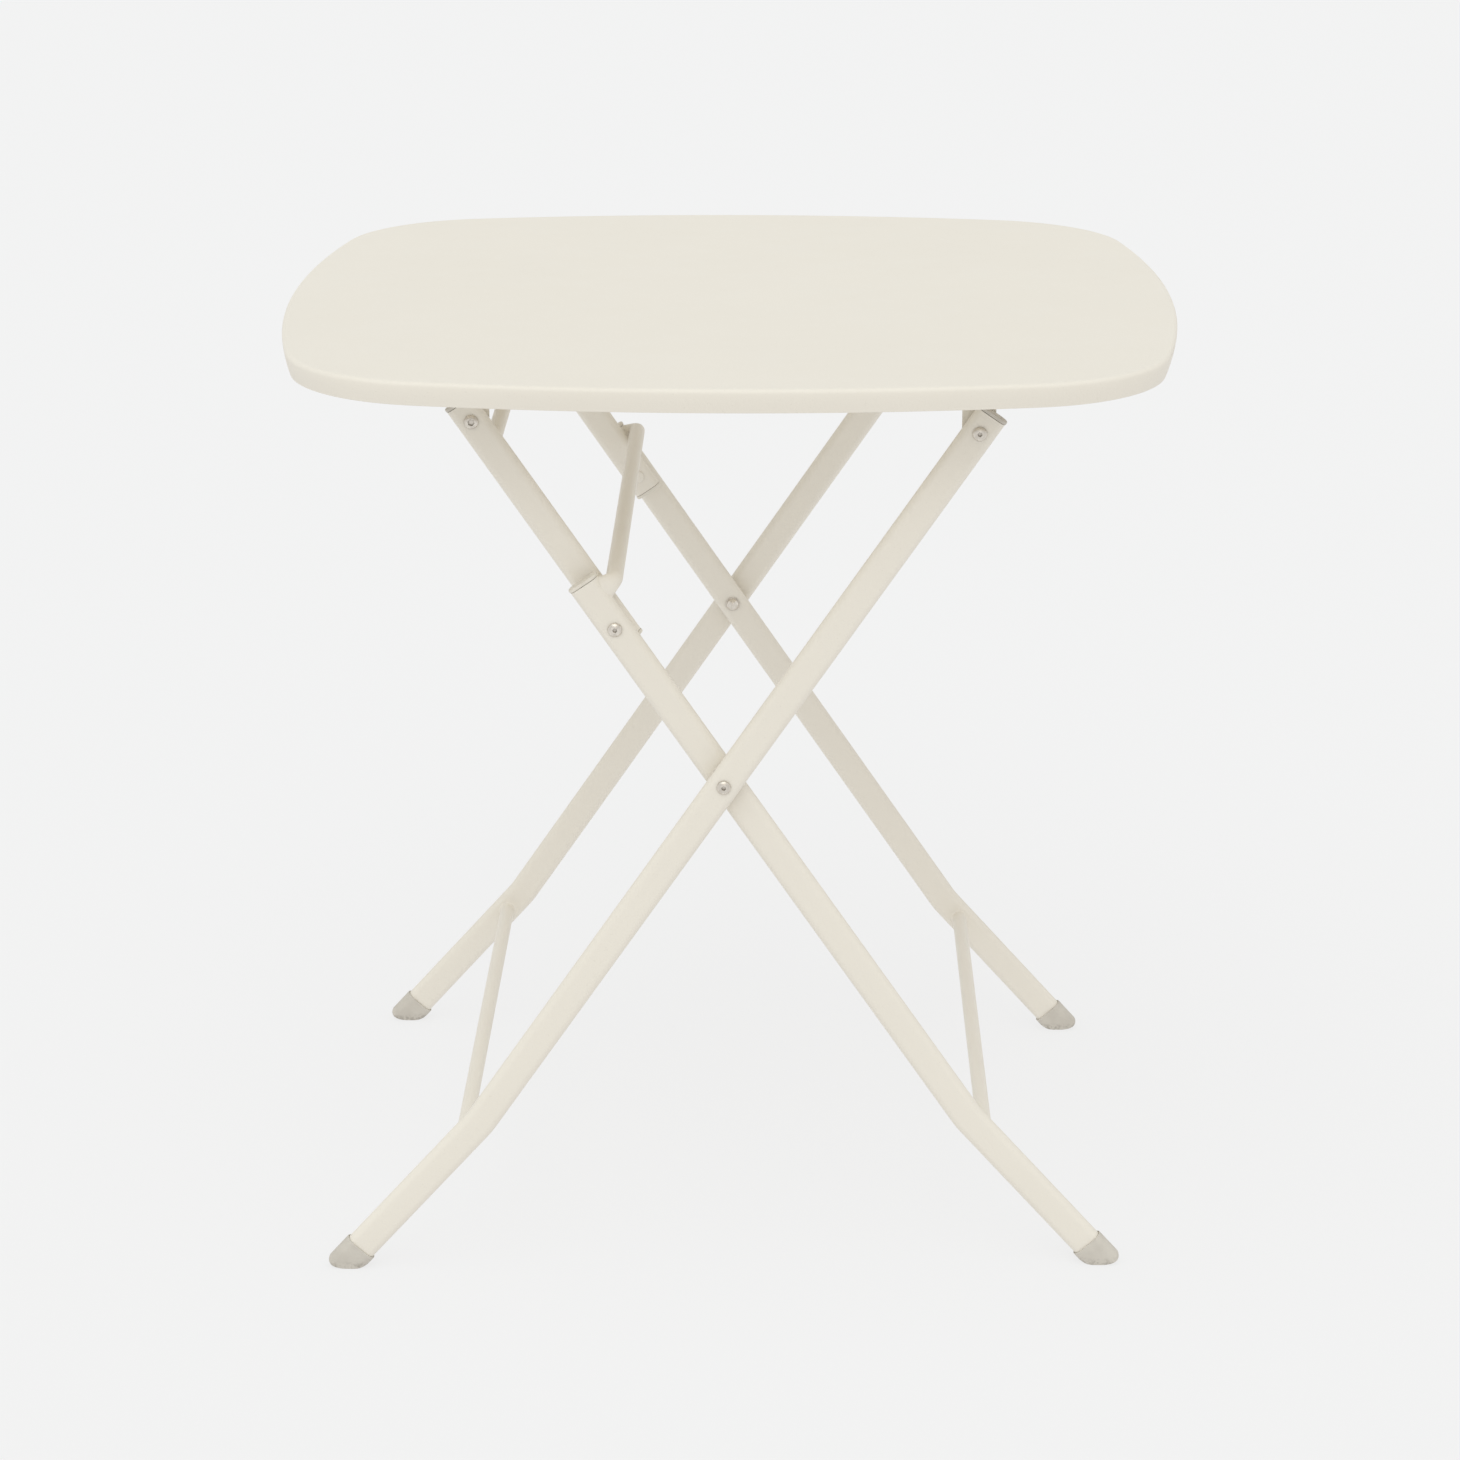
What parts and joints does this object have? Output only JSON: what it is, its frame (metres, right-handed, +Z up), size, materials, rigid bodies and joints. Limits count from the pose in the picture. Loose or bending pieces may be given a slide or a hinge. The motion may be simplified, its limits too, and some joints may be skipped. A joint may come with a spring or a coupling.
{
  "type": "folding table",
  "caption": "Square metal table on crossed flat-oval tube legs that fold flat, with a knee in the inner legs that locks when straight.",
  "frame": {"origin": "on the floor, under the middle of the tabletop", "axes": "+X across the crossed legs, from the outer feet to the inner feet; +Y along the hinge axes, from the front legs to the back legs; +Z up"},
  "size_m": [0.7, 0.7, 0.725],
  "materials": {
    "powder_coat": "satin cream powder coat",
    "foot_plastic": "matte greige plastic",
    "plug_plastic": "matte cream plastic",
    "zinc_steel": "zinc-plated fasteners"
  },
  "bodies": {
    "outer_frame": {"outer_leg_front": "powder_coat", "outer_leg_back": "powder_coat", "outer_crossbar": "powder_coat", "outer_foot_cap_front": "foot_plastic", "outer_foot_cap_back": "foot_plastic", "outer_leg_plug_front": "foot_plastic", "outer_leg_plug_back": "foot_plastic", "cross_bolt_front": "zinc_steel", "cross_bolt_back": "zinc_steel", "cross_nut_front": "zinc_steel", "cross_nut_back": "zinc_steel", "cross_spacer_front": "plug_plastic", "cross_spacer_back": "plug_plastic"},
    "inner_frame": {"inner_leg_front": "powder_coat", "inner_leg_back": "powder_coat", "inner_crossbar": "powder_coat", "knee_bar": "powder_coat", "inner_foot_cap_front": "foot_plastic", "inner_foot_cap_back": "foot_plastic", "inner_leg_plug_front": "plug_plastic", "inner_leg_plug_back": "plug_plastic", "knee_bolt_front": "zinc_steel", "knee_bolt_back": "zinc_steel", "knee_spacer_front": "plug_plastic", "knee_spacer_back": "plug_plastic"},
    "knee_braces": {"brace_front": "powder_coat", "brace_back": "powder_coat", "brace_crossbar": "powder_coat", "brace_top_plug_front": "foot_plastic", "brace_top_plug_back": "foot_plastic", "brace_tail_plug_front": "plug_plastic", "brace_tail_plug_back": "plug_plastic", "knee_nut_front": "powder_coat", "knee_nut_back": "powder_coat"},
    "folding_top": {"tabletop": "powder_coat", "hinge_rail": "powder_coat", "brace_hinge_rail": "powder_coat", "hinge_bracket_front": "powder_coat", "hinge_bracket_back": "powder_coat", "brace_hinge_bracket_front": "powder_coat", "brace_hinge_bracket_back": "powder_coat", "hinge_washer_front": "plug_plastic", "hinge_washer_back": "plug_plastic", "brace_hinge_washer_front": "plug_plastic", "brace_hinge_washer_back": "plug_plastic", "hinge_bolt_front": "zinc_steel", "hinge_bolt_back": "zinc_steel", "brace_hinge_bolt_front": "zinc_steel", "brace_hinge_bolt_back": "zinc_steel", "hinge_nut_front": "zinc_steel", "hinge_nut_back": "zinc_steel", "hinge_screw_front_1": "zinc_steel", "hinge_screw_front_2": "zinc_steel", "hinge_screw_back_1": "zinc_steel", "hinge_screw_back_2": "zinc_steel", "brace_hinge_screw_front_1": "zinc_steel", "brace_hinge_screw_front_2": "zinc_steel", "brace_hinge_screw_back_1": "zinc_steel", "brace_hinge_screw_back_2": "zinc_steel"}
  },
  "joints": [
    {"name": "top_fold", "type": "hinge", "parent": "outer_frame", "child": "folding_top", "pos_m": [0.1866, 0, 0.67393], "axis": [0, -1, 0], "range_deg": [0, 51.6]},
    {"name": "scissor_fold", "type": "hinge", "parent": "outer_frame", "child": "inner_frame", "pos_m": [-0.002, 0, 0.399], "axis": [0, 1, 0], "range_deg": [0, 65.9]},
    {"name": "brace_fold", "type": "hinge", "parent": "folding_top", "child": "knee_braces", "pos_m": [-0.1906, 0, 0.67393], "axis": [0, -1, 0], "range_deg": [0, 53.9]}
  ],
  "couplings": [
    {"joint": "scissor_fold", "follows": "top_fold", "ratio": 1.277},
    {"joint": "brace_fold", "follows": "top_fold", "ratio": 1.0445}
  ]
}
